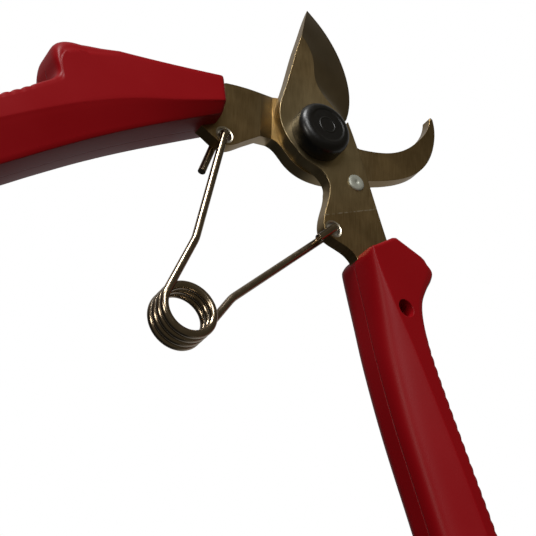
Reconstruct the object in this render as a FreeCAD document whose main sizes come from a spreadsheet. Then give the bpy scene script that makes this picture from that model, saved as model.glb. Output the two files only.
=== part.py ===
import FreeCAD, Part
import math
import os

import Sketcher
from FreeCAD import Placement, Rotation, Vector

# Sprung bypass pruning shears, lying open on a flat surface.
# Millimetres. The origin is on the pivot axis at the underside of the pivot bolt's head,
# +Z runs up the pivot, and +Y runs along the cutting blade.

doc = FreeCAD.newDocument("pruning_shears")

# ---------------------------------------------------------------- driving dimensions

DIMENSIONS = [
    ("blade_thickness", 4.0),
    ("blade_gap", 0.1),
    ("edge_land", 0.35),
    ("bolt_head_height", 2.8),
    ("bolt_head_radius", 8.2),
    ("bolt_radius", 4.0),
    ("bolt_length", 13.4),
    ("bushing_radius", 5.0),
    ("running_gap", 0.05),
    ("washer_thickness", 0.8),
    ("washer_radius", 7.35),
    ("disc_spring_height", 1.1),
    ("disc_spring_wall", 0.7),
    ("disc_spring_radius", 6.6),
    ("nut_height", 3.1),
    ("nut_flats", 12.0),
    ("cap_radius", 8.8),
    ("cap_height", 6.4),
    ("cap_wall", 1.4),
    ("cap_rounding", 2.6),
    ("rivet_head_radius", 2.8),
    ("rivet_head_height", 0.9),
    ("rivet_shank_radius", 2.4),
    ("wire_diameter", 2.3),
    ("wire_to_plate", 0.2),
    ("spring_hole_radius", 2.25),
    ("coil_radius", 7.4),
    ("coil_pitch", 2.46),
    ("grip_thickness", 18.0),
    ("grip_shoulder_drop", 2.4),
    ("grip_side_bulge", 0.6),
    ("grip_edge_rounding", 1.2),
    ("scallop_pitch", 3.2),
    ("scallop_radius", 1.7),
    ("scallop_depth", 0.45),
    ("recess_mouth_radius", 2.9),
    ("recess_floor_radius", 1.4),
    ("catch_thickness", 2.0),
    ("catch_slot_gap", 0.15),
    ("catch_pin_radius", 1.6),
    ("catch_post_radius", 1.5),
]

dims = doc.addObject("Spreadsheet::Sheet", "dims")
for row, (alias, value) in enumerate(DIMENSIONS, start=1):
    dims.set(f"A{row}", alias)
    dims.set(f"B{row}", str(value))
    dims.setAlias(f"B{row}", alias)
doc.recompute()


def dim(alias):
    return float(getattr(dims, alias))


# Levels up the pivot: the bolt's head, the hook blade, then the cutting blade.
HOOK_BOTTOM = "dims.bolt_head_height + dims.blade_gap"
CUTTING_BOTTOM = "dims.bolt_head_height + 2 * dims.blade_gap + dims.blade_thickness"
CUTTING_TOP = "dims.bolt_head_height + 2 * dims.blade_gap + 2 * dims.blade_thickness"
hook_bottom = dim("bolt_head_height") + dim("blade_gap")
hook_top = hook_bottom + dim("blade_thickness")
cutting_bottom = hook_top + dim("blade_gap")
cutting_top = cutting_bottom + dim("blade_thickness")
plate_middle = (cutting_bottom + cutting_top) / 2

# Places in plan.
cutting_spring_hole = Vector(6.1, -31.8, 0)
hook_spring_hole = Vector(-31.0, -13.0, 0)
stop_place = Vector(14.1, -11.9, 0)
coil_centre = Vector(-38.6, -74.1, 0)
catch_pin_place = Vector(50.5, -136.0, 0)
catch_post_place = Vector(-127.2, -68.5, 0)


# ---------------------------------------------------------------- helpers

def curve(*points):
    """A smooth curve through plan points."""
    spline = Part.BSplineCurve()
    spline.interpolate([Vector(x, y, 0) for x, y in points])
    return spline


def line(start, end):
    return Part.LineSegment(Vector(*start, 0), Vector(*end, 0))


def arc(start, middle, end):
    return Part.Arc(Vector(*start, 0), Vector(*middle, 0), Vector(*end, 0))


def origin_plane(body, role):
    return next(f for f in body.Origin.OriginFeatures if f.Role == role)


def sketch_on(body, name, height):
    """A sketch parallel to the body's XY plane, at a height given by an expression."""
    sketch = body.newObject("Sketcher::SketchObject", name)
    sketch.AttachmentSupport = [(origin_plane(body, "XY_Plane"), "")]
    sketch.MapMode = "FlatFace"
    sketch.setExpression("AttachmentOffset.Base.z", height)
    return sketch


def plate(label, outline, height):
    """A sheet-steel plate: an outline padded by the blade thickness."""
    body = doc.addObject("PartDesign::Body", label + "_plate")
    sketch = sketch_on(body, label + "_outline", height)
    sketch.addGeometry(outline, False)
    pad = body.newObject("PartDesign::Pad", label + "_pad")
    pad.Profile = sketch
    pad.setExpression("Length", "dims.blade_thickness")
    return body


def drill(body, label, places, height):
    """Round holes straight through a plate: places are (centre, radius expression)."""
    sketch = sketch_on(body, label + "_holes", height)
    for centre, radius in places:
        at = Vector(centre.x, centre.y, 0)
        index = sketch.addGeometry(Part.Circle(at, Vector(0, 0, 1), 1.0), False)
        sketch.addConstraint(Sketcher.Constraint("Radius", index, 1.0))
        sketch.setExpression(f"Constraints[{sketch.ConstraintCount - 1}]", radius)
    pocket = body.newObject("PartDesign::Pocket", label + "_drilling")
    pocket.Profile = sketch
    pocket.Type = "ThroughAll"
    pocket.Midplane = True
    return pocket


def solid_object(name, shape):
    feature = doc.addObject("Part::Feature", name)
    feature.Shape = shape
    return feature


def cylinder(name, radius, height, base, centre=Vector()):
    """A cylinder along Z; radius, height and base are expressions in the sheet."""
    made = doc.addObject("Part::Cylinder", name)
    made.setExpression("Radius", radius)
    made.setExpression("Height", height)
    made.Placement = Placement(centre, Rotation())
    made.setExpression("Placement.Base.z", base)
    return made


def cut(label, base, *tools):
    result = doc.addObject("Part::Cut", label)
    result.Base = base
    if len(tools) == 1:
        result.Tool = tools[0]
        return result
    joined = doc.addObject("Part::MultiFuse", label + "_tools")
    joined.Shapes = list(tools)
    result.Tool = joined
    return result


def fuse(label, *pieces):
    result = doc.addObject("Part::MultiFuse", label)
    result.Shapes = list(pieces)
    return result


nodes = []


def keep(node, label):
    """Name a finished sub-part; its label is also its file's name."""
    node.Label = label
    nodes.append(node)


# ---------------------------------------------------------------- cutting blade
# A flat leaf-shaped blade, ground on its upper side, whose tang runs back into its grip.

cutting_outline = [
    curve((-1.6, 54.6), (4.1, 49.7), (9.1, 43.0), (12.7, 35.2), (14.6, 26.0), (14.3, 19.0), (13.3, 14.8)),
    line((13.3, 14.8), (11.2, 11.6)),
    curve((11.2, 11.6), (16.2, -1.8), (22.1, -20.2), (26.2, -32.5)),
    line((26.2, -32.5), (27.5, -47.0)),
    line((27.5, -47.0), (40.5, -93.0)),
    arc((40.5, -93.0), (37.8, -96.6), (33.8, -94.6)),
    line((33.8, -94.6), (18.5, -50.0)),
    line((18.5, -50.0), (14.3, -39.2)),
    curve((14.3, -39.2), (10.0, -36.2), (6.1, -35.1), (3.4, -33.4), (2.8, -30.4), (3.9, -24.0), (4.8, -18.0)),
    curve((4.8, -18.0), (4.3, -14.5), (2.0, -12.0), (-2.2, -10.6), (-6.2, -8.2)),
    curve((-6.2, -8.2), (-10.2, -4.2), (-12.6, 1.2), (-12.9, 6.2), (-12.0, 10.8)),
    curve((-12.0, 10.8), (-10.0, 19.2), (-7.3, 32.4), (-5.5, 39.7), (-3.9, 46.6), (-1.6, 54.6)),
]

# The ground face runs from the cutting edge up to the ridge: (edge point, ridge point).
GRIND = [
    ((-3.6, 58.0), (-12.0, 51.0)),
    ((1.5, 52.1), (-10.0, 46.2)),
    ((6.9, 46.2), (-7.6, 41.6)),
    ((11.0, 39.4), (-5.2, 38.2)),
    ((13.9, 31.0), (-1.6, 31.6)),
    ((14.7, 24.0), (-0.9, 24.6)),
    ((14.0, 17.6), (1.4, 18.8)),
    ((12.6, 13.4), (7.0, 13.6)),
    ((10.6, 9.6), (10.6, 10.2)),
]


def grinding_section(edge, ridge):
    """The stock ground away at one place: a sliver above the line from edge to ridge."""
    low = Vector(*edge, cutting_bottom + dim("edge_land"))
    high = Vector(*ridge, cutting_top)
    slope = high - low
    over = high + slope * 0.15
    outside = low - Vector(slope.x, slope.y, 0) * 0.4
    lift = Vector(0, 0, cutting_top + 3)
    corners = [
        outside,
        low,
        over,
        Vector(over.x, over.y, 0) + lift,
        Vector(outside.x, outside.y, 0) + lift,
    ]
    return Part.makePolygon(corners + [corners[0]])


blade_plate = plate("cutting_blade", cutting_outline, CUTTING_BOTTOM)
drill(
    blade_plate,
    "cutting_blade",
    [
        (Vector(), "dims.bolt_radius"),
        (cutting_spring_hole, "dims.spring_hole_radius"),
        (stop_place, "dims.rivet_shank_radius"),
    ],
    CUTTING_BOTTOM,
)
grinding = solid_object(
    "cutting_blade_grinding",
    Part.makeLoft([grinding_section(edge, ridge) for edge, ridge in GRIND], True, False),
)
cutting_blade = cut("cutting_blade", blade_plate, grinding)
keep(cutting_blade, "cutting_blade")

# ---------------------------------------------------------------- hook blade
# The hooked counter blade lies under the cutting blade. Its tang is set up by a joggle
# beside the pivot, so that both tangs and both grips lie in one plane.

JOGGLE_FOOT = -13.3
JOGGLE_HEAD = -19.4

hook_outline = [
    curve((47.2, 31.4), (45.6, 25.2), (42.1, 19.6), (37.3, 14.1), (31.5, 9.9), (24.7, 7.2), (18.6, 5.8)),
    curve((18.6, 5.8), (14.6, 7.4), (9.6, 11.6), (3.0, 14.2), (-4.0, 14.4), (JOGGLE_FOOT, 12.2)),
    line((JOGGLE_FOOT, 12.2), (JOGGLE_FOOT, -4.0)),
    curve((JOGGLE_FOOT, -4.0), (-10.6, -4.9), (-7.2, -8.2), (-3.2, -10.7), (2.9, -11.5), (7.4, -10.9)),
    line((7.4, -10.9), (13.0, -9.6)),
    line((13.0, -9.6), (22.1, -5.2)),
    curve((22.1, -5.2), (32.2, -0.6), (41.4, 6.4), (45.7, 12.8), (48.2, 20.5), (48.8, 26.5), (48.3, 30.8)),
    arc((48.3, 30.8), (47.8, 31.4), (47.2, 31.4)),
]
tang_outline = [
    curve((JOGGLE_HEAD, 7.9), (-24.0, 7.6), (-31.5, 6.3)),
    line((-31.5, 6.3), (-40.0, 0.0)),
    line((-40.0, 0.0), (-92.0, -36.0)),
    arc((-92.0, -36.0), (-93.6, -40.6), (-89.0, -42.2)),
    line((-89.0, -42.2), (-47.0, -15.0)),
    line((-47.0, -15.0), (-38.6, -13.0)),
    curve((-38.6, -13.0), (-35.6, -14.5), (-33.4, -15.8), (-30.6, -16.4), (-27.9, -15.3), (-23.4, -11.6)),
    line((-23.4, -11.6), (JOGGLE_HEAD, -8.4)),
    line((JOGGLE_HEAD, -8.4), (JOGGLE_HEAD, 7.9)),
]


def joggle_end(x, low_y, high_y, base):
    top = base + dim("blade_thickness")
    corners = [
        Vector(x, low_y, base),
        Vector(x, high_y, base),
        Vector(x, high_y, top),
        Vector(x, low_y, top),
    ]
    return Part.makePolygon(corners + [corners[0]])


hook_plate = plate("hook_blade", hook_outline, HOOK_BOTTOM)
drill(hook_plate, "hook_blade", [(Vector(), "dims.bushing_radius + dims.running_gap")], HOOK_BOTTOM)
hook_tang = plate("hook_tang", tang_outline, CUTTING_BOTTOM)
drill(hook_tang, "hook_tang", [(hook_spring_hole, "dims.spring_hole_radius")], CUTTING_BOTTOM)
joggle = solid_object(
    "hook_blade_joggle",
    Part.makeLoft(
        [
            joggle_end(JOGGLE_FOOT, -4.0, 12.2, hook_bottom),
            joggle_end(JOGGLE_HEAD, -8.4, 7.9, cutting_bottom),
        ],
        True,
        True,
    ),
)
hook_blade = fuse("hook_blade", hook_plate, joggle, hook_tang)
keep(hook_blade, "hook_blade")
doc.recompute()

# ---------------------------------------------------------------- pivot
# The bolt's low head is under the hook blade. The hook blade turns on a bushing, and a
# nut on a disc spring clamps the cutting blade to the bushing under a domed cap.

bolt_head = cylinder("bolt_head", "dims.bolt_head_radius", "dims.bolt_head_height", "0")
bolt_shank = cylinder("bolt_shank", "dims.bolt_radius", "dims.bolt_length", "dims.bolt_head_height")
bolt_blank = fuse("bolt_blank", bolt_head, bolt_shank)
doc.recompute()
pivot_bolt = doc.addObject("Part::Chamfer", "pivot_bolt")
pivot_bolt.Base = bolt_blank
BOLT_CHAMFER = 0.6
pivot_bolt.Edges = [
    (number, BOLT_CHAMFER, BOLT_CHAMFER)
    for number, edge in enumerate(bolt_blank.Shape.Edges, start=1)
    if edge.BoundBox.ZMax < 0.01 or edge.BoundBox.ZMin > dim("bolt_head_height") + dim("bolt_length") - 0.01
]
keep(pivot_bolt, "pivot_bolt")

bushing_height = "dims.blade_thickness + 2 * dims.blade_gap"
pivot_bushing = cut(
    "pivot_bushing",
    cylinder("bushing_outside", "dims.bushing_radius", bushing_height, "dims.bolt_head_height"),
    cylinder("bushing_bore", "dims.bolt_radius", bushing_height, "dims.bolt_head_height"),
)
keep(pivot_bushing, "pivot_bushing")

flat_washer = cut(
    "flat_washer",
    cylinder("washer_outside", "dims.washer_radius", "dims.washer_thickness", CUTTING_TOP),
    cylinder("washer_bore", "dims.bolt_radius", "dims.washer_thickness", CUTTING_TOP),
)
keep(flat_washer, "flat_washer")

disc_base = cutting_top + dim("washer_thickness")
disc_rise = dim("disc_spring_height") - dim("disc_spring_wall")
disc_profile = Part.makePolygon(
    [
        Vector(dim("bolt_radius"), 0, disc_base + disc_rise),
        Vector(dim("disc_spring_radius"), 0, disc_base),
        Vector(dim("disc_spring_radius"), 0, disc_base + dim("disc_spring_wall")),
        Vector(dim("bolt_radius"), 0, disc_base + dim("disc_spring_height")),
        Vector(dim("bolt_radius"), 0, disc_base + disc_rise),
    ]
)
disc_spring = solid_object("disc_spring", Part.Face(disc_profile).revolve(Vector(), Vector(0, 0, 1), 360))
keep(disc_spring, "disc_spring")

NUT_BASE = CUTTING_TOP + " + dims.washer_thickness + dims.disc_spring_height"
nut_blank = doc.addObject("Part::Prism", "nut_blank")
nut_blank.Polygon = 6
nut_blank.setExpression("Circumradius", "dims.nut_flats / sqrt(3)")
nut_blank.setExpression("Height", "dims.nut_height")
nut_blank.setExpression("Placement.Base.z", NUT_BASE)
pivot_nut = cut("pivot_nut", nut_blank, cylinder("nut_bore", "dims.bolt_radius", "dims.nut_height", NUT_BASE))
keep(pivot_nut, "pivot_nut")

cap_base = CUTTING_TOP + " + dims.running_gap"
cap_body = doc.addObject("PartDesign::Body", "cap_body")
cap_sketch = sketch_on(cap_body, "cap_outline", cap_base)
cap_sketch.addGeometry(Part.Circle(Vector(), Vector(0, 0, 1), 1.0), False)
cap_sketch.addConstraint(Sketcher.Constraint("Radius", 0, 1.0))
cap_sketch.setExpression("Constraints[0]", "dims.cap_radius")
cap_pad = cap_body.newObject("PartDesign::Pad", "cap_pad")
cap_pad.Profile = cap_sketch
cap_pad.setExpression("Length", "dims.cap_height")
doc.recompute()
cap_fillet = cap_body.newObject("PartDesign::Fillet", "cap_fillet")
top_edge = next(
    f"Edge{number}"
    for number, edge in enumerate(cap_pad.Shape.Edges, start=1)
    if edge.BoundBox.ZMin > cutting_top + dim("cap_height") - 0.5
)
cap_fillet.Base = (cap_pad, [top_edge])
cap_fillet.setExpression("Radius", "dims.cap_rounding")
cap_inside = cylinder(
    "cap_inside",
    "dims.cap_radius - dims.cap_wall - dims.running_gap",
    "dims.cap_height - dims.cap_wall + 0.4",
    cap_base,
)
pivot_cap = cut("pivot_cap", cap_body, cap_inside)
keep(pivot_cap, "pivot_cap")

# ---------------------------------------------------------------- opening stop
# A rivet in the cutting blade. Its shank hangs down beside the back of the hook blade,
# which comes to rest against it when the shears are fully open.

rivet_dome = solid_object("rivet_dome", Part.makeSphere(
    (dim("rivet_head_radius") ** 2 + dim("rivet_head_height") ** 2) / (2 * dim("rivet_head_height"))
))
dome_radius = rivet_dome.Shape.BoundBox.ZMax
rivet_dome.Placement = Placement(
    stop_place + Vector(0, 0, cutting_top + dim("rivet_head_height") - dome_radius), Rotation()
)
rivet_head = doc.addObject("Part::Common", "rivet_head")
rivet_head.Base = rivet_dome
rivet_head.Tool = cylinder("rivet_head_blank", "dims.rivet_head_radius", "2", CUTTING_TOP, stop_place)
rivet_length = "2 * dims.blade_thickness + dims.blade_gap"
rivet_shank = cylinder("rivet_shank", "dims.rivet_shank_radius", rivet_length, HOOK_BOTTOM, stop_place)
stop_rivet = fuse("stop_rivet", rivet_shank, rivet_head)
keep(stop_rivet, "stop_rivet")

# ---------------------------------------------------------------- spring
# One length of round wire: a coil between the grips, and two legs that hook through the
# tangs. The cutting leg runs under its tang and hooks up, the hook leg the other way.

wire_radius = dim("wire_diameter") / 2
wire_above = cutting_top + dim("wire_to_plate") + wire_radius
wire_below = cutting_bottom - dim("wire_to_plate") - wire_radius
COIL_START = math.radians(-31.3)
COIL_TURNS = 3.47
CORNER_RADIUS = 1.6
BEND_RADIUS = 12.0
END_GAP = 0.1
coil_rise = COIL_TURNS * dim("coil_pitch")
coil_bottom = wire_above - coil_rise
COIL_FINISH = COIL_START - COIL_TURNS * 2 * math.pi


def on_coil(angle, height):
    ring = Vector(math.cos(angle), math.sin(angle), 0) * dim("coil_radius")
    return coil_centre + ring + Vector(0, 0, height)


def bent_path(points, radii):
    """Straight runs joined by tangent arcs, one radius for each inner point."""
    edges = []
    start = points[0]
    for before, corner, after, radius in zip(points, points[1:], points[2:], radii):
        back = (before - corner).normalize()
        ahead = (after - corner).normalize()
        half = back.getAngle(ahead) / 2
        reach = radius / math.tan(half)
        bisector = (back + ahead).normalize()
        middle = corner + bisector * (radius / math.sin(half) - radius)
        enter = corner + back * reach
        leave = corner + ahead * reach
        edges.append(Part.LineSegment(start, enter).toShape())
        edges.append(Part.Arc(enter, middle, leave).toShape())
        start = leave
    edges.append(Part.LineSegment(start, points[-1]).toShape())
    return Part.Wire(edges)


def wire_along(path, start, direction):
    """Round spring wire swept along a path."""
    section = Part.Wire(Part.makeCircle(wire_radius, start, direction))
    return path.makePipeShell([section], True, True)


def spring_leg(name, points):
    path = bent_path(points, [CORNER_RADIUS, CORNER_RADIUS, BEND_RADIUS])
    return solid_object(name, wire_along(path, points[0], points[1] - points[0]))


leg_tangent = Vector(-math.sin(COIL_START), math.cos(COIL_START), 0)
cutting_leg_points = [
    Vector(0.1, -38.2, wire_above),
    cutting_spring_hole + Vector(0, 0, wire_above),
    cutting_spring_hole + Vector(0, 0, wire_below),
    on_coil(COIL_START, coil_bottom - 0.2) + leg_tangent * 19.5,
    on_coil(COIL_START, coil_bottom) + leg_tangent * END_GAP,
]
hook_eye = hook_spring_hole + Vector(-0.5, 0.1, 0)
finish_tangent = Vector(-math.sin(COIL_FINISH), math.cos(COIL_FINISH), 0)
hook_leg_points = [
    Vector(-34.9, -24.5, wire_below),
    hook_eye + Vector(0, 0, wire_below),
    hook_eye + Vector(0, 0, wire_above),
    on_coil(COIL_FINISH, wire_above) - finish_tangent * 20.0,
    on_coil(COIL_FINISH, wire_above),
]
spring_cutting_leg = spring_leg("spring_cutting_leg", cutting_leg_points)
keep(spring_cutting_leg, "spring_cutting_leg")
spring_hook_leg = spring_leg("spring_hook_leg", hook_leg_points)
keep(spring_hook_leg, "spring_hook_leg")

helix = Part.makeHelix(dim("coil_pitch"), coil_rise, dim("coil_radius"), 0, True)
coil_section_place = Vector(dim("coil_radius"), 0, 0)
coil_shape = wire_along(Part.Wire(helix), coil_section_place, Vector(0, 1, 0))
spring_coil = solid_object("spring_coil", coil_shape)
spring_coil.Placement = Placement(
    coil_centre + Vector(0, 0, coil_bottom), Rotation(Vector(0, 0, 1), math.degrees(COIL_START))
)
keep(spring_coil, "spring_coil")

# ---------------------------------------------------------------- grips
# Each grip is moulded over its tang: a plan outline as deep as the grip, whose top and
# bottom fall from a crease to a rounded inner side. Stations run along the grip from its
# front, and are (distance, shoulder, crease), both measured outwards from the axis.

CUTTING_GRIP = {
    "start": Vector(16.0, -40.0, 0),
    "along": Vector(0.3, -0.954, 0),
    "outwards": Vector(0.954, 0.3, 0),
    "fall": 0.11,
    "stations": [
        (-12.0, 0.0, 1.0),
        (0.0, -1.8, -0.4),
        (15.0, -2.8, 1.0),
        (30.0, -3.6, 3.2),
        (50.0, -3.6, 5.4),
        (75.0, -2.8, 7.8),
        (98.0, -2.0, 9.0),
        (122.0, -2.0, 9.0),
    ],
}
HOOK_GRIP = {
    "start": Vector(-32.0, 0.0, 0),
    "along": Vector(-0.845, -0.535, 0),
    "outwards": Vector(-0.535, 0.845, 0),
    "fall": 0.06,
    "stations": [
        (-12.0, -7.2, -5.8),
        (5.0, -6.9, -4.4),
        (20.0, -7.1, -2.3),
        (35.0, -7.5, 0.1),
        (50.0, -8.4, 1.0),
        (65.0, -9.9, 0.5),
        (80.0, -11.7, -0.6),
        (100.0, -13.6, -2.4),
        (135.0, -14.4, -2.4),
    ],
}

# The outer side of each grip from its thumb rest to its end, which carries the scallops.
cutting_outer_side = curve(
    (34.6, -64.4), (38.4, -75.4), (46.7, -97.3), (54.1, -116.4), (59.4, -131.0), (60.4, -138.0)
)
hook_outer_side = curve((-90.0, -25.8), (-97.7, -32.8), (-107.3, -40.2), (-119.2, -49.2), (-128.6, -57.4))

cutting_grip_outline = [
    line((24.3, -31.6), (36.2, -35.9)),
    arc((36.2, -35.9), (37.6, -38.2), (36.9, -41.0)),
    curve((36.9, -41.0), (34.9, -45.2), (33.4, -50.6), (33.2, -57.0), (34.6, -64.4)),
    cutting_outer_side,
    curve((60.4, -138.0), (58.6, -144.2), (52.6, -147.2), (46.4, -146.0)),
    line((46.4, -146.0), (30.0, -146.0)),
    line((30.0, -146.0), (0.0, -60.0)),
    line((0.0, -60.0), (12.6, -41.8)),
    arc((12.6, -41.8), (12.9, -41.0), (13.6, -40.2)),
    line((13.6, -40.2), (22.6, -32.1)),
    arc((22.6, -32.1), (23.4, -31.6), (24.3, -31.6)),
]
hook_grip_outline = [
    line((-34.3, -8.6), (-35.2, 1.6)),
    arc((-35.2, 1.6), (-35.6, 2.4), (-36.6, 2.8)),
    curve((-36.6, 2.8), (-54.6, -0.5), (-75.0, -5.2), (-81.0, -6.6)),
    curve((-81.0, -6.6), (-85.4, -9.2), (-87.6, -13.2), (-88.0, -17.6), (-87.3, -22.4)),
    line((-87.3, -22.4), (-90.0, -25.8)),
    hook_outer_side,
    curve((-128.6, -57.4), (-133.6, -63.2), (-134.8, -69.0), (-131.6, -74.8)),
    line((-131.6, -74.8), (-122.0, -90.0)),
    line((-122.0, -90.0), (-40.0, -35.0)),
    line((-40.0, -35.0), (-34.8, -12.6)),
    line((-34.8, -12.6), (-34.3, -8.6)),
]


def grip_section(grip, distance, shoulder, crease):
    """Across a grip: a bulged inner side, a rise to the crease, then a slow fall outwards."""
    half = dim("grip_thickness") / 2
    shoulder_half = half - dim("grip_shoulder_drop")
    width = 60.0
    far_half = half - grip["fall"] * width
    foot = grip["start"] + grip["along"] * distance

    def place(across, height):
        return foot + grip["outwards"] * across + Vector(0, 0, plate_middle + height)

    low = place(shoulder, -shoulder_half)
    side = place(shoulder - dim("grip_side_bulge"), 0)
    high = place(shoulder, shoulder_half)
    corners = [
        high,
        place(crease, half),
        place(crease + width, far_half),
        place(crease + width, -far_half),
        place(crease, -half),
        low,
    ]
    edges = [Part.Arc(low, side, high).toShape()]
    for start, end in zip(corners, corners[1:]):
        edges.append(Part.LineSegment(start, end).toShape())
    return Part.Wire(edges)


def moulding(name, grip, outline):
    """The plan outline padded to the grip's thickness, kept inside the lofted section."""
    body = doc.addObject("PartDesign::Body", name + "_blank")
    bottom = CUTTING_BOTTOM + " + (dims.blade_thickness - dims.grip_thickness) / 2"
    sketch = sketch_on(body, name + "_outline", bottom)
    sketch.addGeometry(outline, False)
    pad = body.newObject("PartDesign::Pad", name + "_pad")
    pad.Profile = sketch
    pad.setExpression("Length", "dims.grip_thickness")
    sections = [grip_section(grip, *station) for station in grip["stations"]]
    common = doc.addObject("Part::Common", name + "_moulding")
    common.Base = body
    common.Tool = solid_object(name + "_section", Part.makeLoft(sections, True, False))
    doc.recompute()
    return rounded(name, common)


def rounded(name, blank):
    """Round the rims of the top and bottom: every edge there that slopes gently."""
    radius = dim("grip_edge_rounding")
    rim_height = dim("grip_thickness") / 2 - dim("grip_shoulder_drop") - 0.1
    rims = []
    for number, edge in enumerate(blank.Shape.Edges, start=1):
        levels = [point.z for point in edge.discretize(9)]
        rise = max(levels) - min(levels)
        on_rim = min(abs(level - plate_middle) for level in levels) > rim_height
        if on_rim and 0.01 < rise < 0.4 * edge.Length:
            rims.append((number, radius, radius))
    fillet = doc.addObject("Part::Fillet", name + "_rounded")
    fillet.Base = blank
    fillet.Edges = rims
    return fillet


def scallops(name, side):
    """Shallow grooves up the outer side of a grip, at an even pitch."""
    count = int(side.length() // dim("scallop_pitch"))
    grooves = []
    for number in range(1, count):
        parameter = side.parameterAtDistance(number * dim("scallop_pitch"), side.FirstParameter)
        along = side.tangent(parameter)[0]
        outwards = Vector(-along.y, along.x, 0)
        if outwards.dot(side.value(parameter)) < 0:
            outwards = outwards * -1
        axis = side.value(parameter) + outwards * (dim("scallop_radius") - dim("scallop_depth"))
        grooves.append(Part.makeCylinder(dim("scallop_radius"), dim("grip_thickness"), axis))
    return solid_object(name, Part.makeCompound(grooves))


def end_slot(name, grip, distance):
    """A slot across the end of a grip that takes the catch, from a distance to the end."""
    reach = 60.0
    height = dim("catch_thickness") + 2 * dim("catch_slot_gap")
    box = Part.makeBox(reach, 2 * reach, height, Vector(0, -reach, -height / 2))
    slot = solid_object(name, box)
    turn = math.degrees(math.atan2(grip["along"].y, grip["along"].x))
    place = grip["start"] + grip["along"] * distance + Vector(0, 0, plate_middle)
    slot.Placement = Placement(place, Rotation(Vector(0, 0, 1), turn))
    return slot


PIN_INSET = "1.2"
PIN_LENGTH = "dims.grip_thickness - 2 * " + PIN_INSET

cutting_moulding = moulding("cutting_grip", CUTTING_GRIP, cutting_grip_outline)
recess_centre = Vector(26.3, -55.4, 0)
recess_depth = dim("grip_thickness") / 2 - dim("blade_thickness") / 2


def locating_recess(name, side):
    """A cone down to the tang, left by the pin that held it in the mould."""
    cone = Part.makeCone(dim("recess_floor_radius"), dim("recess_mouth_radius"), recess_depth)
    recess = solid_object(name, cone)
    tilt = 0 if side > 0 else 180
    foot = recess_centre + Vector(0, 0, plate_middle + side * dim("blade_thickness") / 2)
    recess.Placement = Placement(foot, Rotation(Vector(1, 0, 0), tilt))
    return recess


cutting_grip = cut(
    "cutting_grip",
    cutting_moulding,
    cutting_blade,
    scallops("cutting_grip_scallops", cutting_outer_side),
    locating_recess("upper_recess", 1),
    locating_recess("lower_recess", -1),
    end_slot("cutting_end_slot", CUTTING_GRIP, 96.0),
    cylinder("catch_pin_hole", "dims.catch_pin_radius", "dims.grip_thickness", "0", catch_pin_place),
)
keep(cutting_grip, "cutting_grip")

hook_moulding = moulding("hook_grip", HOOK_GRIP, hook_grip_outline)
hook_grip = cut(
    "hook_grip",
    hook_moulding,
    hook_blade,
    scallops("hook_grip_scallops", hook_outer_side),
    end_slot("hook_end_slot", HOOK_GRIP, 110.0),
    cylinder("catch_post_hole", "dims.catch_post_radius", "dims.grip_thickness", "0", catch_post_place),
)
keep(hook_grip, "hook_grip")

# ---------------------------------------------------------------- catch
# A steel strap on a pin across the end of the cutting grip. With the shears closed it
# swings into the end of the hook grip, and its notch hooks over the post there.

CLOSING_ANGLE = 62.0
CATCH_SWING = 35.0
EYE_RADIUS = 4.2
ARM_HALF_WIDTH = 2.6
TIP_LENGTH = 5.2
NOTCH_CLEARANCE = 0.3

catch_pin = cylinder("catch_pin", "dims.catch_pin_radius", PIN_LENGTH, PIN_INSET, catch_pin_place)
keep(catch_pin, "catch_pin")
catch_post = cylinder("catch_post", "dims.catch_post_radius", PIN_LENGTH, PIN_INSET, catch_post_place)
keep(catch_post, "catch_post")

post_when_closed = Rotation(Vector(0, 0, 1), CLOSING_ANGLE).multVec(catch_post_place)
span = post_when_closed - catch_pin_place
reach = span.Length
latched_angle = math.degrees(math.atan2(span.y, span.x))
notch = dim("catch_post_radius") + NOTCH_CLEARANCE
tip = reach + TIP_LENGTH
strap_outline = [
    arc((0, ARM_HALF_WIDTH), (-EYE_RADIUS, 0), (0, -ARM_HALF_WIDTH)),
    line((0, -ARM_HALF_WIDTH), (reach - 7.0, -ARM_HALF_WIDTH)),
    line((reach - 7.0, -ARM_HALF_WIDTH), (reach - notch - 1.0, -3.6)),
    line((reach - notch - 1.0, -3.6), (reach - notch, -3.6)),
    line((reach - notch, -3.6), (reach - notch, 0)),
    arc((reach - notch, 0), (reach, notch), (reach + notch, 0)),
    line((reach + notch, 0), (reach + notch, -3.6)),
    line((reach + notch, -3.6), (tip - 1.0, -3.6)),
    arc((tip - 1.0, -3.6), (tip, 0.5), (tip - 3.0, 4.4)),
    line((tip - 3.0, 4.4), (reach - 5.0, 4.4)),
    line((reach - 5.0, 4.4), (reach - 9.0, ARM_HALF_WIDTH)),
    line((reach - 9.0, ARM_HALF_WIDTH), (0, ARM_HALF_WIDTH)),
]
strap_body = doc.addObject("PartDesign::Body", "strap_body")
strap_sketch = sketch_on(strap_body, "strap_outline", "0")
strap_sketch.addGeometry(strap_outline, False)
strap_pad = strap_body.newObject("PartDesign::Pad", "strap_pad")
strap_pad.Profile = strap_sketch
strap_pad.setExpression("Length", "dims.catch_thickness")
strap_place = catch_pin_place + Vector(0, 0, plate_middle - dim("catch_thickness") / 2)
strap_body.Placement = Placement(
    strap_place, Rotation(Vector(0, 0, 1), latched_angle + CATCH_SWING)
)
bore_radius = "dims.catch_pin_radius + dims.running_gap"
strap_bore = cylinder("strap_bore", bore_radius, PIN_LENGTH, PIN_INSET, catch_pin_place)
catch_strap = cut("catch_strap", strap_body, strap_bore)
keep(catch_strap, "catch_strap")

# ---------------------------------------------------------------- checks and files

doc.recompute()
for made in doc.Objects:
    if "Invalid" in made.State or "Error" in made.State:
        raise RuntimeError(f"{made.Label} failed: {made.State}")
for node in nodes:
    shape = node.Shape
    if shape.isNull() or not shape.isValid() or len(shape.Solids) != 1:
        raise RuntimeError(f"{node.Label} is not one valid solid")

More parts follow.
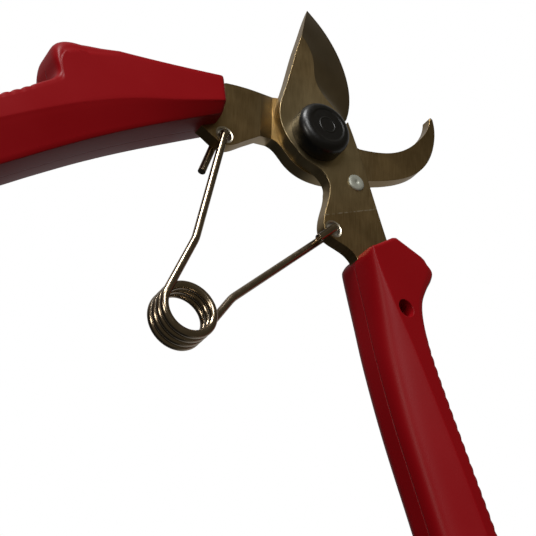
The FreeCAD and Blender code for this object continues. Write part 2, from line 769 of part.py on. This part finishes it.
os.makedirs("parts", exist_ok=True)
for node in nodes:
    node.Shape.exportStep(f"parts/{node.Label}.step")
    print(f"{node.Label}: {node.Shape.Volume / 1000:.2f} cm3")
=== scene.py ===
import bmesh
import bpy
import math
from mathutils import Euler, Matrix, Vector


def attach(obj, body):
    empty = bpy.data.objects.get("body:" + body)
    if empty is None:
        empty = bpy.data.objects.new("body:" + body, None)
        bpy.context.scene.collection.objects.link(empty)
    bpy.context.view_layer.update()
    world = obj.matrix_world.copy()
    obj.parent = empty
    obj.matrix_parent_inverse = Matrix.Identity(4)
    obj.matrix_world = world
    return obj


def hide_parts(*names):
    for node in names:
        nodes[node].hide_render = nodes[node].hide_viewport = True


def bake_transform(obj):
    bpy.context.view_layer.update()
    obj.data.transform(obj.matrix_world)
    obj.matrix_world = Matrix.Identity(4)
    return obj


# Sprung bypass pruning shears, lying open. Metres, in the CAD frame: the origin is on the
# pivot's axis, +Z up, +Y along the cutting blade.

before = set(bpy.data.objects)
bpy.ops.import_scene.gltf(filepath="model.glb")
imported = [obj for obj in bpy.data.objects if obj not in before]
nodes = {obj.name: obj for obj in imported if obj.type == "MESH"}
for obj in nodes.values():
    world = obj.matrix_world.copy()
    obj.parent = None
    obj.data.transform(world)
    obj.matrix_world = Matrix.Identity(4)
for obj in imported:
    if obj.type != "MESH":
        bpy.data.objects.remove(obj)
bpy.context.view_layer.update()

MM = 0.001
PLATE_TOP = 11.0 * MM
PLATE_MIDDLE = 9.0 * MM

# ---------------------------------------------------------------- camera
# Above and behind the open handles, rolled so that the cutting blade points up the view.

camera_data = bpy.data.cameras.new("camera")
camera_data.sensor_width = 36.0
camera_data.lens = 84.42
camera_data.clip_start = 0.01
camera = bpy.data.objects.new("camera", camera_data)
bpy.context.scene.collection.objects.link(camera)
camera.location = (-0.15719, -0.2423, 0.26037)
camera.rotation_euler = Euler((math.radians(32.542), math.radians(-30.587), math.radians(1.715)))
bpy.context.scene.camera = camera


# ---------------------------------------------------------------- shader helpers

class NodeTree:
    """Short calls that add shader nodes to one tree."""

    def __init__(self, tree):
        self.tree = tree

    def add(self, kind, **settings):
        node = self.tree.nodes.new("ShaderNode" + kind)
        for name, value in settings.items():
            setattr(node, name, value)
        return node

    def link(self, source, target):
        self.tree.links.new(source, target)

    def put(self, target, value):
        """Link an output, or set a constant, on an input socket."""
        if hasattr(value, "is_output"):
            self.link(value, target)
        else:
            target.default_value = value

    def place(self):
        """A point in the piece's own frame, so that marks stay on the piece when it moves."""
        return self.add("TexCoord").outputs["Object"]

    def math(self, operation, *values, clamp=False):
        node = self.add("Math", operation=operation, use_clamp=clamp)
        for socket, value in zip(node.inputs, values):
            self.put(socket, value)
        return node.outputs[0]

    def ramp(self, value, low, high, start=0.0, end=1.0):
        node = self.add("MapRange", clamp=True)
        for name, number in (("Value", value), ("From Min", low), ("From Max", high),
                             ("To Min", start), ("To Max", end)):
            self.put(node.inputs[name], number)
        return node.outputs[0]

    def stretched(self, turn, scale):
        """The piece's own frame turned about Z and scaled, for grain along one direction."""
        mapping = self.add("Mapping")
        self.link(self.place(), mapping.inputs["Vector"])
        mapping.inputs["Rotation"].default_value = (0, 0, math.radians(turn))
        mapping.inputs["Scale"].default_value = scale
        return mapping.outputs[0]

    def noise(self, vector, scale, detail=3.0, roughness=0.5):
        node = self.add("TexNoise")
        self.put(node.inputs["Vector"], vector)
        node.inputs["Scale"].default_value = scale
        node.inputs["Detail"].default_value = detail
        node.inputs["Roughness"].default_value = roughness
        return node.outputs["Fac"]

    def mix(self, factor, first, second):
        node = self.add("Mix", data_type="RGBA")
        self.put(node.inputs["Factor"], factor)
        self.put(node.inputs["A"], first)
        self.put(node.inputs["B"], second)
        return node.outputs["Result"]

    def bump(self, height, distance, strength=1.0, normal=None):
        node = self.add("Bump")
        node.inputs["Strength"].default_value = strength
        node.inputs["Distance"].default_value = distance
        self.put(node.inputs["Height"], height)
        if normal is not None:
            self.link(normal, node.inputs["Normal"])
        return node.outputs["Normal"]

    def separate(self, vector):
        node = self.add("SeparateXYZ")
        self.link(vector, node.inputs[0])
        return node.outputs

    def axis_distance(self, axis):
        """Plan distance from an upright axis through a point of the piece's own frame, in metres."""
        x, y, _ = self.separate(self.place())
        across = self.math("SUBTRACT", x, axis[0])
        along = self.math("SUBTRACT", y, axis[1])
        squares = self.math("ADD", self.math("POWER", across, 2.0), self.math("POWER", along, 2.0))
        return self.math("SQRT", squares)


class Shader(NodeTree):
    """A node material with a principled surface."""

    def __init__(self, name):
        self.material = bpy.data.materials.new(name)
        self.material.use_nodes = True
        super().__init__(self.material.node_tree)
        self.surface = self.tree.nodes["Principled BSDF"]

    def softened(self, radius):
        """A normal that rounds off the mesh's sharp edges."""
        node = self.add("Bevel", samples=6)
        node.inputs["Radius"].default_value = radius
        return node.outputs["Normal"]

    def set(self, **values):
        """Inputs of the surface by name, with underscores for spaces."""
        for name, value in values.items():
            self.put(self.surface.inputs[name.replace("_", " ")], value)


def dress(name, material):
    """Give a CAD node its material."""
    mesh = nodes[name].data
    mesh.materials.clear()
    mesh.materials.append(material)


# ---------------------------------------------------------------- coated blade steel
# Champagne-bronze satin coating over ground steel: fine grinding lines along the metal and
# faint smudges. A painted sheen makes it lighter round the pivot, and painted shade darkens
# slightly tilted faces.

BRONZE = (0.30, 0.195, 0.080, 1.0)
BRONZE_DARK = (0.245, 0.155, 0.062, 1.0)
BRONZE_BRIGHT = (0.52, 0.41, 0.23, 1.0)
# Painted shade for slightly tilted faces.
BRONZE_TILT_SHADE = (0.15, 0.115, 0.065, 1.0)
BARE_STEEL = (0.9, 0.86, 0.74, 1.0)
SCRATCH_STEEL = (0.75, 0.68, 0.52, 1.0)
SPRING_HOLES = ((6.1 * MM, -31.8 * MM), (-31.0 * MM, -13.0 * MM))
# The scratch is the plan line where the point's share along this normal equals the offset.
SCRATCH_NORMAL = (-0.447, 0.894)
SCRATCH_OFFSET = -26.37 * MM


def scratched(s, coat, fine):
    """A broken scratch across the cutting tang, with slightly lighter metal beyond it."""
    x, y, z = s.separate(s.place())
    share_x = s.math("MULTIPLY", x, SCRATCH_NORMAL[0])
    share_y = s.math("MULTIPLY", y, SCRATCH_NORMAL[1])
    beyond = s.math("ADD", share_x, share_y)
    distance = s.math("ABSOLUTE", s.math("SUBTRACT", beyond, SCRATCH_OFFSET))
    line = s.math("MULTIPLY", s.ramp(distance, 0.28 * MM, 0.10 * MM), s.ramp(fine, 0.42, 0.6))
    line = s.math("MULTIPLY", line, s.math("GREATER_THAN", z, PLATE_TOP - 0.1 * MM))
    coat = s.mix(s.math("MULTIPLY", line, 0.6), coat, SCRATCH_STEEL)
    lighter = s.ramp(beyond, SCRATCH_OFFSET, SCRATCH_OFFSET + 0.07 * MM, 0.0, 0.2)
    return s.mix(lighter, coat, BRONZE_BRIGHT)


def coated_steel(name, grain_turn, has_scratch):
    s = Shader(name)
    grain = s.noise(s.stretched(grain_turn, (900.0, 40.0, 40.0)), 4.0, 4.0, 0.6)
    smudge = s.noise(s.place(), 60.0, 4.0, 0.55)
    fine = s.noise(s.place(), 900.0, 2.0, 0.5)
    coat = s.mix(s.ramp(smudge, 0.3, 0.75), BRONZE_DARK, BRONZE)
    coat = s.mix(s.ramp(grain, 0.2, 0.85, 0.0, 0.35), coat, BRONZE_BRIGHT)
    if has_scratch:
        coat = scratched(s, coat, fine)
    # Painted sheen: the coat is lightened towards the pivot.
    pivot_sheen = s.ramp(s.axis_distance((0.0, 0.0)), 9.0 * MM, 24.0 * MM, 0.85, 0.0)
    coat = s.mix(pivot_sheen, coat, BRONZE_BRIGHT)
    # Painted shade: slightly tilted faces, but not the plate's edges, are darkened.
    _, _, upright = s.separate(s.add("NewGeometry").outputs["Normal"])
    tilt_shade = s.math("MULTIPLY", s.ramp(upright, 0.998, 0.995), s.math("GREATER_THAN", upright, 0.5))
    coat = s.mix(s.math("MULTIPLY", tilt_shade, 0.75), coat, BRONZE_TILT_SHADE)
    normal = s.softened(0.25 * MM)
    for hole in SPRING_HOLES:
        reach = s.axis_distance(hole)
        rim = s.math("MULTIPLY", s.ramp(reach, 2.9 * MM, 2.75 * MM), s.ramp(reach, 2.1 * MM, 2.2 * MM))
        coat = s.mix(s.math("MULTIPLY", rim, 0.6), coat, BARE_STEEL)
        normal = s.bump(s.ramp(reach, 2.2 * MM, 2.8 * MM), 0.3 * MM, 1.0, normal)
    normal = s.bump(grain, 0.004 * MM, 0.6, normal)
    normal = s.bump(fine, 0.002 * MM, 0.5, normal)
    roughness = s.math("ADD", s.ramp(smudge, 0.3, 0.7, 0.26, 0.38), s.ramp(grain, 0.3, 0.7, 0.0, 0.08))
    s.set(Base_Color=coat, Metallic=1.0, Roughness=roughness, Normal=normal)
    return s.material


dress("cutting_blade", coated_steel("blade_coat", 10.0, True))
dress("hook_blade", coated_steel("hook_coat", 60.0, False))

# ---------------------------------------------------------------- fasteners and spring


def bright_steel(name, tint, roughness, wear_depth=0.4):
    """Satin or polished metal with faint wear."""
    s = Shader(name)
    wear = s.noise(s.place(), 300.0, 4.0, 0.6)
    dark = tuple(0.7 * c for c in tint[:3]) + (1.0,)
    s.set(Base_Color=s.mix(wear, dark, tint), Metallic=1.0)
    s.set(Roughness=s.ramp(wear, 0.3, 0.7, roughness * 0.8, roughness * 1.3))
    s.set(Normal=s.bump(wear, 0.01 * MM, wear_depth, s.softened(0.2 * MM)))
    return s.material


fastener_steel = bright_steel("fastener_steel", (0.34, 0.33, 0.29, 1.0), 0.34)
for name in ("pivot_bolt", "flat_washer", "disc_spring", "pivot_nut",
             "catch_pin", "catch_post", "catch_strap"):
    dress(name, fastener_steel)
dress("pivot_bushing", bright_steel("bushing_brass", (0.55, 0.42, 0.18, 1.0), 0.3))

rivet = Shader("rivet_steel")
rivet.set(Base_Color=(0.42, 0.43, 0.37, 1.0), Metallic=0.55, Roughness=0.5)
rivet.set(Normal=rivet.softened(0.15 * MM))

spring_steel = bright_steel("spring_wire", (0.40, 0.32, 0.225, 1.0), 0.2, 0.04)
for name in ("spring_cutting_leg", "spring_coil", "spring_hook_leg"):
    dress(name, spring_steel)

# ---------------------------------------------------------------- cap and grips

# The cap has a sunken disc with one plain ring in it.
cap = Shader("cap_plastic")
cap_grain = cap.noise(cap.place(), 1400.0, 3.0, 0.6)
cap.set(Base_Color=(0.0022, 0.0020, 0.0018, 1.0), Roughness=cap.ramp(cap_grain, 0.3, 0.7, 0.3, 0.4))
cap_reach = cap.axis_distance((0.0, 0.0))
cap_disc = cap.ramp(cap_reach, 5.3 * MM, 5.9 * MM)
ring_reach = cap.math("ABSOLUTE", cap.math("SUBTRACT", cap_reach, 2.6 * MM))
cap_ring = cap.math("SUBTRACT", 1.0, cap.ramp(ring_reach, 0.1 * MM, 0.35 * MM))
cap_normal = cap.bump(cap_grain, 0.01 * MM, 0.5)
cap_normal = cap.bump(cap_disc, 0.22 * MM, 1.0, cap_normal)
cap.set(Normal=cap.bump(cap_ring, 0.12 * MM, 1.0, cap_normal))
dress("pivot_cap", cap.material)

# Deep red, with painted shade (black) on the recess's floor, and a parting seam at mid-height.
RECESS_PLACE = (26.3, -55.4)
recess_axis = (RECESS_PLACE[0] * MM, RECESS_PLACE[1] * MM)
grip = Shader("grip_plastic")
grip_grain = grip.noise(grip.place(), 1800.0, 3.0, 0.6)
grip_cloud = grip.noise(grip.place(), 40.0, 3.0, 0.5)
grip_red = grip.mix(grip_cloud, (0.200, 0.0012, 0.0035, 1.0), (0.245, 0.0016, 0.0045, 1.0))
# Painted shade: the recess floor is black, as if the tang's steel there lay in shadow.
recess_painted_shade = grip.math("LESS_THAN", grip.axis_distance(recess_axis), 1.7 * MM)
grip.set(Base_Color=grip.mix(recess_painted_shade, grip_red, (0.002, 0.002, 0.002, 1.0)))
grip.set(Roughness=grip.ramp(grip_cloud, 0.3, 0.7, 0.36, 0.44), Specular_IOR_Level=0.16)
grip_normal = grip.bump(grip_grain, 0.012 * MM, 0.5, grip.softened(0.4 * MM))
_, _, grip_height = grip.separate(grip.place())
seam_reach = grip.math("ABSOLUTE", grip.math("SUBTRACT", grip_height, PLATE_MIDDLE))
seam = grip.ramp(seam_reach, 0.06 * MM, 0.22 * MM)
grip.set(Normal=grip.bump(seam, 0.12 * MM, 1.0, grip_normal))

# ---------------------------------------------------------------- grips
# Each grip is one moulding, built as rings along its tang. A ring runs from the inner side
# over the crease to the outer side and back underneath. Lengths here are in millimetres,
# as distances along the grip and across it, and places are plan points.

HALF = 9.0
CREASE_SOFTNESS = 0.22
SCALLOP_PITCH = 3.2
SCALLOP_DEPTH = 0.34
SCALLOP_FADE = 3.0
TOP_STEPS = 14
RIM_STEPS = 8
END_RADIUS = 1.3
END_STEPS = 5
RING_STEP = 0.4
REAR_FADE = 14.0


def follow(table, at):
    """A smooth curve through the (place, value) pairs of a table."""
    count = len(table)
    index = 0
    while index < count - 2 and at > table[index + 1][0]:
        index += 1
    (x0, y0), (x1, y1) = table[index], table[index + 1]
    before = table[max(index - 1, 0)]
    after = table[min(index + 2, count - 1)]
    slope0 = (y1 - before[1]) / (x1 - before[0])
    slope1 = (after[1] - y0) / (after[0] - x0)
    t = min(max((at - x0) / (x1 - x0), 0.0), 1.0)
    span = x1 - x0
    return (
        (2 * t**3 - 3 * t**2 + 1) * y0
        + (t**3 - 2 * t**2 + t) * span * slope0
        + (3 * t**2 - 2 * t**3) * y1
        + (t**3 - t**2) * span * slope1
    )


def straight(table, at):
    """Straight runs between the (place, value) pairs of a table."""
    for (x0, y0), (x1, y1) in zip(table, table[1:]):
        if at <= x1:
            return y0 + (y1 - y0) * max((at - x0) / (x1 - x0), 0.0)
    return table[-1][1]


def smooth_step(t):
    t = min(max(t, 0.0), 1.0)
    return t * t * (3 - 2 * t)


def rolled_side(width):
    """The cutting grip's inner side: upright, then one broad roll up to the crease."""
    facet_end = (0.25 * width, HALF - 0.3 * width)
    points = []
    for step in range(15):
        t = step / 15
        u = 1 - t
        across = 3 * u * t * t * facet_end[0] + t**3 * width
        height = 3 * u * u * t * 6.4 + 3 * u * t * t * facet_end[1] + t**3 * HALF
        points.append((across, height))
    return points


def rounded_side(width):
    """The cutting grip's inner side underneath: upright, with a rounded foot."""
    radius = min(4.0, 0.9 * width)
    points = [(0.0, (HALF - radius) * step / 5) for step in range(6)]
    for step in range(1, 9):
        turn = math.radians(90) * step / 8
        points.append((radius * (1 - math.cos(turn)), HALF - radius * (1 - math.sin(turn))))
    points.append((radius + 0.3 * (width - radius), HALF))
    return points


def stepped_side(width):
    """The hook grip's inner side: a bulged wall, a crisp shoulder and a flat facet."""
    shoulder = (0.6, 6.6)
    points = [(0.0, 0.0), (0.02, 1.2), (0.08, 2.5), (0.22, 4.2), (0.42, 5.6)]
    points += [(0.54, 6.2), (0.62, 6.52), (0.86, 6.7)]
    for step in range(1, 8):
        t = step / 8
        across = shoulder[0] + 0.3 + (width - shoulder[0] - 0.3) * t
        rise = (across - shoulder[0]) / (width - shoulder[0])
        points.append((across, shoulder[1] + (HALF - shoulder[1]) * rise))
    return points


# Tables are (distance along, offset across) for inner, crease and outer, (share across, shift
# along) for front and rear, and (distance along, radius) for rim. "fall" is how fast the top
# drops from the crease to the outer side, "foot_below" the least width of the inner side
# underneath, and "slot_from" where the catch's slot begins.
GRIPS = {
    "cutting": {
        "body": "cutting_side",
        "start": (16.0, -40.0),
        "along": (0.3, -0.954),
        "outwards": (0.954, 0.3),
        "length": 113.0,
        "fall": 0.11,
        "side": rolled_side,
        "side_below": rounded_side,
        "foot_below": 6.0,
        "inner": [
            (-12, 1.2), (-2.3, -0.5), (-0.9, -1.4), (1.0, -1.8), (15, -2.8),
            (30, -3.8), (50, -4.1), (75, -3.3), (98, -2.6), (122, -2.6),
        ],
        "crease": [
            (-12, 1.0), (0, -0.4), (15, 1.0), (30, 3.2),
            (50, 5.4), (75, 7.8), (98, 9.0), (122, 9.0),
        ],
        "outer": [
            (-2.0, 20.0), (2.1, 20.6), (4.7, 21.9), (7.4, 20.3), (10.8, 16.9),
            (15.3, 13.4), (21.4, 11.3), (28.9, 10.4), (40.5, 10.5), (63.9, 11.8),
            (84.3, 13.1), (99.8, 13.9), (107.0, 12.9), (114.0, 8.5),
        ],
        "front": [(0.0, -2.2), (0.1, -2.8), (0.52, -6.3), (1.0, 0.4)],
        "rear": [(0.0, -3.0), (0.6, 0.0), (1.0, -6.0)],
        "front_fade": 16.0,
        "rim": [(0.0, 1.3), (113.0, 1.3)],
        "scallops": (27.5, 104.0),
        "slot_from": 96.0,
    },
    "hook": {
        "body": "hook_side",
        "start": (-32.0, 0.0),
        "along": (-0.845, -0.535),
        "outwards": (-0.535, 0.845),
        "length": 124.0,
        "fall": 0.06,
        "side": stepped_side,
        "side_below": stepped_side,
        "foot_below": 0.0,
        "inner": [
            (-12, -7.8), (5, -7.5), (20, -7.7), (35, -8.1), (50, -9.0),
            (65, -10.5), (80, -12.3), (100, -14.2), (135, -15.0),
        ],
        "crease": [
            (-12, -5.8), (5, -4.4), (20, -2.3), (35, 0.1), (50, 1.0),
            (65, 0.5), (80, -0.6), (100, -2.4), (135, -3.5),
        ],
        "outer": [
            (0.0, 4.2), (2.4, 4.8), (20.0, 11.5), (36.0, 18.2), (41.5, 21.0), (46.0, 22.7),
            (49.8, 21.7), (52.0, 17.6), (53.2, 13.0), (55.5, 10.4), (60.0, 9.3), (73.0, 7.4),
            (85.1, 6.3), (100.0, 5.1), (112.3, 3.2), (119.7, 1.0), (124.5, -4.0),
        ],
        "front": [(0.0, 7.2), (0.3, 5.1), (1.0, 1.1)],
        "rear": [(0.0, 0.2), (0.5, 0.0), (1.0, -4.6)],
        "front_fade": 24.0,
        "rim": [(0.0, 1.3), (32.0, 1.3), (42.0, 4.5), (50.0, 4.5), (56.0, 1.3), (124.0, 1.3)],
        "scallops": (62.0, 116.0),
        "slot_from": 110.0,
    },
}


def scallop(spec, distance):
    """How far the outer side is cut in at a place: rounded ribs with narrow notches."""
    first, last = spec["scallops"]
    fade = smooth_step((distance - first) / SCALLOP_FADE) * smooth_step((last - distance) / SCALLOP_FADE)
    return SCALLOP_DEPTH * fade * (1 - abs(math.sin(math.pi * distance / SCALLOP_PITCH)))


def grip_ring(spec, side, base, inset):
    """One half of a ring, from inner to outer side, as places above the middle in metres."""
    fade = 1 - smooth_step(base / spec["front_fade"])
    end_fade = smooth_step((base - spec["length"] + REAR_FADE) / REAR_FADE)

    def distance(share):
        return base + straight(spec["front"], share) * fade + straight(spec["rear"], share) * end_fade

    inner = follow(spec["inner"], distance(0.0))
    outer = follow(spec["outer"], distance(1.0))
    total = outer - inner
    crease = follow(spec["crease"], distance(0.1))
    if side == "side_below":
        crease = max(crease, inner + spec["foot_below"])
    rim = straight(spec["rim"], distance(1.0))
    flat = outer - rim - SCALLOP_DEPTH
    cut = scallop(spec, distance(1.0))
    pairs = [(inner + across, height) for across, height in spec[side](crease - inner)]
    pairs.append((crease - CREASE_SOFTNESS, HALF - 0.10))
    pairs.append((crease, HALF - 0.035))
    pairs.append((crease + CREASE_SOFTNESS, HALF - CREASE_SOFTNESS * spec["fall"]))
    start = crease + CREASE_SOFTNESS
    for step in range(1, TOP_STEPS + 1):
        across = start + (flat - start) * step / TOP_STEPS
        pairs.append((across, HALF - (across - crease) * spec["fall"]))
    rim_height = HALF - (outer - crease) * spec["fall"]
    for step in range(RIM_STEPS + 1):
        turn = math.radians(90) * step / RIM_STEPS
        across = outer - cut - rim * (1 - math.sin(turn))
        pairs.append((across, rim_height - rim * (1 - math.cos(turn))))
    wall = pairs[-1][1]
    pairs += [(outer - cut, wall * 0.66), (outer - cut, wall * 0.33), (outer - cut, 0.0)]
    start_x, start_y = spec["start"]
    ring = []
    for across, height in pairs:
        along = distance((across - inner) / total)
        x = start_x + spec["along"][0] * along + spec["outwards"][0] * across
        y = start_y + spec["along"][1] * along + spec["outwards"][1] * across
        ring.append(Vector((x * MM, y * MM, height * (1 - inset / HALF) * MM)))
    return ring


def grip_rings(spec, side):
    """Rings from the front to the rear, drawn in over a rounded rim at both ends."""
    turns = [math.radians(90 * step / END_STEPS) for step in range(END_STEPS, 0, -1)]
    ends = [(END_RADIUS * (1 - math.sin(turn)), END_RADIUS * (1 - math.cos(turn))) for turn in turns]
    count = int((spec["length"] - 2 * END_RADIUS) / RING_STEP)
    step = (spec["length"] - 2 * END_RADIUS) / count
    middle = [(END_RADIUS + number * step, 0.0) for number in range(count + 1)]
    rear = [(spec["length"] - base, inset) for base, inset in reversed(ends)]
    return [grip_ring(spec, side, base, inset) for base, inset in ends + middle + rear]


def add_mesh(name, mesh_builder):
    mesh = bpy.data.meshes.new(name)
    mesh_builder.to_mesh(mesh)
    mesh_builder.free()
    made = bpy.data.objects.new(name, mesh)
    bpy.context.scene.collection.objects.link(made)
    return made


def shade_smooth(piece, sharp_angle):
    piece.data.polygons.foreach_set("use_smooth", [True] * len(piece.data.polygons))
    piece.data.set_sharp_from_angle(angle=math.radians(sharp_angle))


def build_grip(name, spec):
    """A closed moulding: both halves share the edge vertices at mid-height."""
    rings = grip_rings(spec, "side")
    rings_below = grip_rings(spec, "side_below")
    builder = bmesh.new()
    upper = [[builder.verts.new(place + Vector((0, 0, PLATE_MIDDLE))) for place in ring] for ring in rings]
    lower = []
    for ring, above in zip(rings_below, upper):
        below = [builder.verts.new(Vector((p.x, p.y, PLATE_MIDDLE - p.z))) for p in ring[1:-1]]
        lower.append([above[0]] + below + [above[-1]])
    for half, flip in ((upper, False), (lower, True)):
        for near, far in zip(half, half[1:]):
            for a, b, c, d in zip(near, near[1:], far[1:], far):
                builder.faces.new((a, b, c, d) if flip else (a, d, c, b))
    for end, flip in ((0, True), (-1, False)):
        for index in range(len(upper[0]) - 1):
            corners = [upper[end][index], upper[end][index + 1], lower[end][index + 1], lower[end][index]]
            corners = list(dict.fromkeys(corners))
            builder.faces.new(corners if flip else reversed(corners))
    bmesh.ops.recalc_face_normals(builder, faces=builder.faces)
    return add_mesh(name, builder)


def cut_away(piece, tool, heal=False):
    """Take a tool's solid out of a piece, and drop the tool. Healing clears small folds."""
    modifier = piece.modifiers.new("cut", "BOOLEAN")
    modifier.operation = "DIFFERENCE"
    modifier.solver = "EXACT"
    modifier.object = tool
    modifier.use_self = heal
    depsgraph = bpy.context.evaluated_depsgraph_get()
    result = bpy.data.meshes.new_from_object(piece.evaluated_get(depsgraph))
    piece.modifiers.remove(modifier)
    piece.data = result
    bpy.data.objects.remove(tool)


def cone_tool(centre, low, high, low_radius, high_radius):
    """An upright cone or cylinder between two heights."""
    builder = bmesh.new()
    bmesh.ops.create_cone(builder, cap_ends=True, segments=48, radius1=low_radius * MM,
                          radius2=high_radius * MM, depth=(high - low) * MM)
    lift = Vector((centre[0] * MM, centre[1] * MM, (low + high) / 2 * MM))
    bmesh.ops.translate(builder, verts=builder.verts, vec=lift)
    return add_mesh("tool", builder)


SLOT_BLOCK = (60, 80, 2.3)


def slot_tool(spec):
    """A block across the grip's end, where the catch swings in."""
    builder = bmesh.new()
    length, width, height = SLOT_BLOCK
    bmesh.ops.create_cube(builder, size=1.0)
    bmesh.ops.scale(builder, verts=builder.verts, vec=(length * MM, width * MM, height * MM))
    shift_along = (length / 2 + spec["slot_from"]) * MM
    bmesh.ops.translate(builder, verts=builder.verts, vec=(shift_along, 0, PLATE_MIDDLE))
    turn = Matrix.Rotation(math.atan2(spec["along"][1], spec["along"][0]), 4, "Z")
    shift = Matrix.Translation((spec["start"][0] * MM, spec["start"][1] * MM, 0))
    bmesh.ops.transform(builder, matrix=shift @ turn, verts=builder.verts)
    return add_mesh("tool", builder)


CATCH_PIN_PLACE = (50.5, -136.0)
CATCH_POST_PLACE = (-127.2, -68.5)

cutting_moulding = build_grip("cutting_grip_moulding", GRIPS["cutting"])
cut_away(cutting_moulding, cone_tool(RECESS_PLACE, 13.8, 18.2, 1.75, 2.95), heal=True)
cut_away(cutting_moulding, cone_tool(RECESS_PLACE, -0.2, 4.2, 2.95, 1.75))
cut_away(cutting_moulding, cone_tool(CATCH_PIN_PLACE, -1.0, 19.0, 1.62, 1.62))
cut_away(cutting_moulding, slot_tool(GRIPS["cutting"]))
hook_moulding = build_grip("hook_grip_moulding", GRIPS["hook"])
cut_away(hook_moulding, cone_tool(CATCH_POST_PLACE, -1.0, 19.0, 1.52, 1.52), heal=True)
cut_away(hook_moulding, slot_tool(GRIPS["hook"]))
for moulding, side in ((cutting_moulding, "cutting"), (hook_moulding, "hook")):
    moulding.data.materials.clear()
    moulding.data.materials.append(grip.material)
    shade_smooth(moulding, sharp_angle=38)
    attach(moulding, GRIPS[side]["body"])
    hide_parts(side + "_grip")

# ---------------------------------------------------------------- stop rivet
# A flat, softly edged head with a punched dimple, over the shank that stops the hook blade.

RIVET_PLACE = (14.1, -11.9)
RIVET_PROFILE = [
    (0.0, 2.9), (2.4, 2.9), (2.4, 11.0), (2.78, 11.0), (2.78, 11.22), (2.66, 11.42), (2.4, 11.56),
    (2.0, 11.64), (0.95, 11.68), (0.72, 11.62), (0.5, 11.48), (0.25, 11.4), (0.0, 11.38),
]
RIVET_SEGMENTS = 64


def lathe(name, centre, profile):
    """A closed solid turned from a profile of (radius, height) pairs, axis to axis."""
    builder = bmesh.new()
    rings = []
    for radius, height in profile:
        count = RIVET_SEGMENTS if radius > 0 else 1
        ring = []
        for number in range(count):
            turn = 2 * math.pi * number / count
            x = centre[0] + radius * math.cos(turn)
            y = centre[1] + radius * math.sin(turn)
            ring.append(builder.verts.new((x * MM, y * MM, height * MM)))
        rings.append(ring)
    for low, high in zip(rings, rings[1:]):
        for number in range(RIVET_SEGMENTS):
            after = number + 1
            corners = [low[number % len(low)], low[after % len(low)]]
            corners += [high[after % len(high)], high[number % len(high)]]
            builder.faces.new(list(dict.fromkeys(corners)))
    bmesh.ops.recalc_face_normals(builder, faces=builder.faces)
    return add_mesh(name, builder)


stop_rivet = lathe("stop_rivet_turned", RIVET_PLACE, RIVET_PROFILE)
stop_rivet.data.materials.append(rivet.material)
shade_smooth(stop_rivet, sharp_angle=50)
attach(stop_rivet, "cutting_side")
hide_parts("stop_rivet")

# ---------------------------------------------------------------- the spring's coil
# A loose copy of the CAD coil, with its placement baked into its mesh; the CAD coil is hidden.

wound_coil = nodes["spring_coil"].copy()
wound_coil.data = nodes["spring_coil"].data.copy()
wound_coil.name = "wound_coil"
wound_coil.parent = None
wound_coil.matrix_world = nodes["spring_coil"].matrix_world.copy()
bpy.context.scene.collection.objects.link(wound_coil)
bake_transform(wound_coil)
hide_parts("spring_coil")

# ---------------------------------------------------------------- surroundings and light
# White behind the object, as in a cut-out. What its surfaces reflect is darker: a dim room
# above, and below it a table that glows towards +X and +Y. One light is high overhead, a
# strong one is far behind at a lower angle, and a small one is out on the hook grip's side.

WHITE = (1.0, 1.0, 1.0, 1.0)
ROOM_TONE = (0.085, 0.075, 0.055, 1.0)

world = bpy.data.worlds.new("world")
bpy.context.scene.world = world
world.use_nodes = True
sky = NodeTree(world.node_tree)
sky_x, sky_y, sky_z = sky.separate(sky.add("TexCoord").outputs["Generated"])
table_share = sky.ramp(sky_z, -0.16, 0.10, 1.0, 0.0)
table_glow = sky.ramp(sky.math("ADD", sky_x, sky_y), -0.45, 0.5, 0.02, 0.40)
room = sky.add("Background")
sky.link(sky.mix(table_share, ROOM_TONE, table_glow), room.inputs["Color"])
backdrop = sky.tree.nodes["Background"]
backdrop.inputs["Color"].default_value = WHITE
choose = sky.add("MixShader")
sky.link(sky.add("LightPath").outputs["Is Camera Ray"], choose.inputs[0])
sky.link(room.outputs[0], choose.inputs[1])
sky.link(backdrop.outputs[0], choose.inputs[2])
sky.link(choose.outputs[0], sky.tree.nodes["World Output"].inputs["Surface"])


def area_light(name, place, target, size, power, tint=(1.0, 1.0, 1.0)):
    data = bpy.data.lights.new(name, "AREA")
    data.size = size
    data.energy = power
    data.color = tint
    light = bpy.data.objects.new(name, data)
    bpy.context.scene.collection.objects.link(light)
    light.location = place
    light.rotation_euler = (Vector(target) - Vector(place)).to_track_quat("-Z", "Y").to_euler()


MIDDLE = (-0.02, -0.04, 0.0)
area_light("overhead", (-0.66, 0.76, 1.7), MIDDLE, 0.7, 17.0)
area_light("low_back", (-2.1, 3.3, 1.8), MIDDLE, 1.2, 135.0)
area_light("window", (-0.75, -0.1, 0.45), MIDDLE, 0.2, 1.6, (1.0, 0.96, 0.9))

bpy.context.scene.view_settings.view_transform = "Standard"
